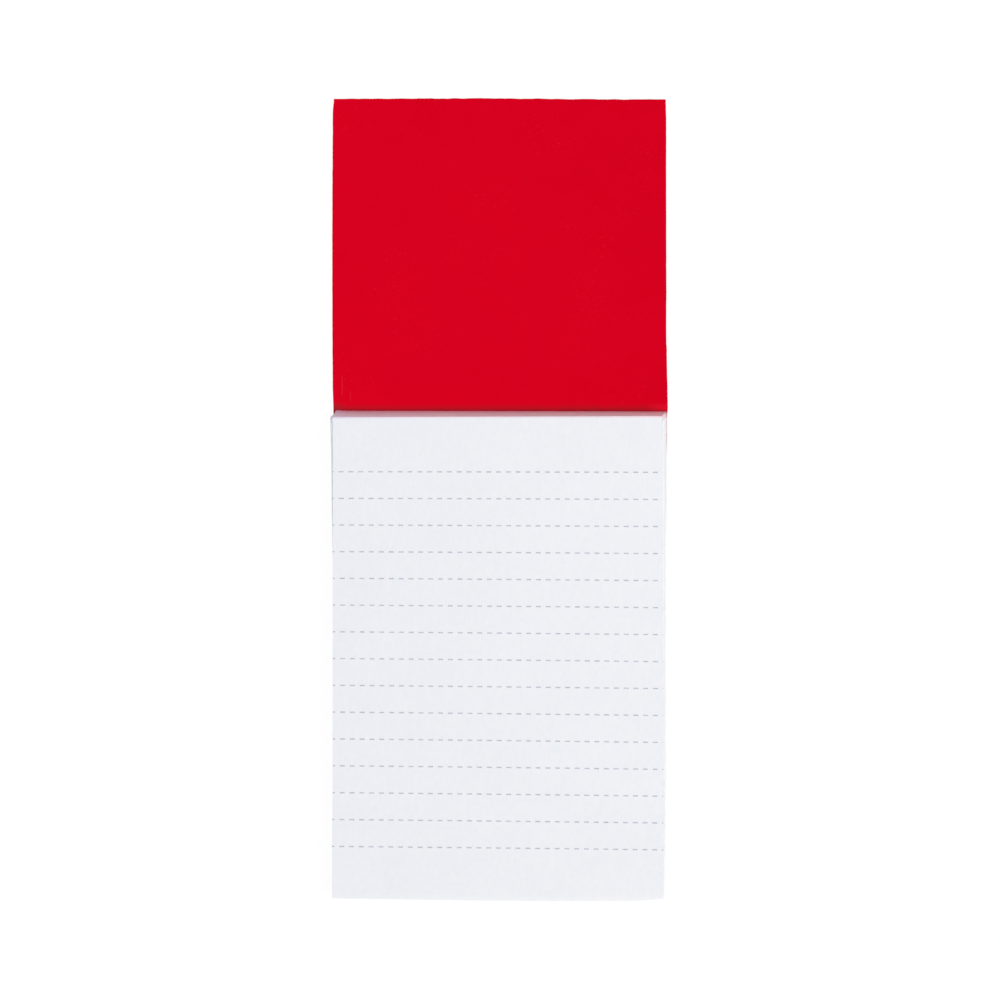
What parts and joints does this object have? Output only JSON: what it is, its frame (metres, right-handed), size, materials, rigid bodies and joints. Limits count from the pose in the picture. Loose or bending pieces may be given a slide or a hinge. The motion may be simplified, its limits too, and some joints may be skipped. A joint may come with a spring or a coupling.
{
  "type": "magnetic notepad",
  "caption": "Long narrow notepad: a thin magnetic board with a red face, bare at the top, with a block of white tear-off sheets with broken ruled lines taped below.",
  "frame": {"origin": "middle of the part's outline, on the magnetic back that it lies on", "axes": "+Y from the foot of the sheets to the bare header, +X to the right seen from the front, +Z out of the face"},
  "size_m": [0.075, 0.1794, 0.0048],
  "materials": {
    "magnet": "matte flexible magnet sheet, dark brown-black",
    "red_film": "smooth red vinyl film with a satin sheen",
    "tape": "thin double-sided tissue tape",
    "paper": "smooth uncoated white writing paper",
    "gum": "thin dried padding gum, pale and slightly translucent",
    "ink": "pale grey-violet printing ink"
  },
  "bodies": {
    "root": {"magnet_sheet": "magnet", "face_film": "red_film", "fixing_tape": "tape", "page_block": "paper", "gum_binding": "gum", "ruling": "ink"}
  },
  "joints": []
}
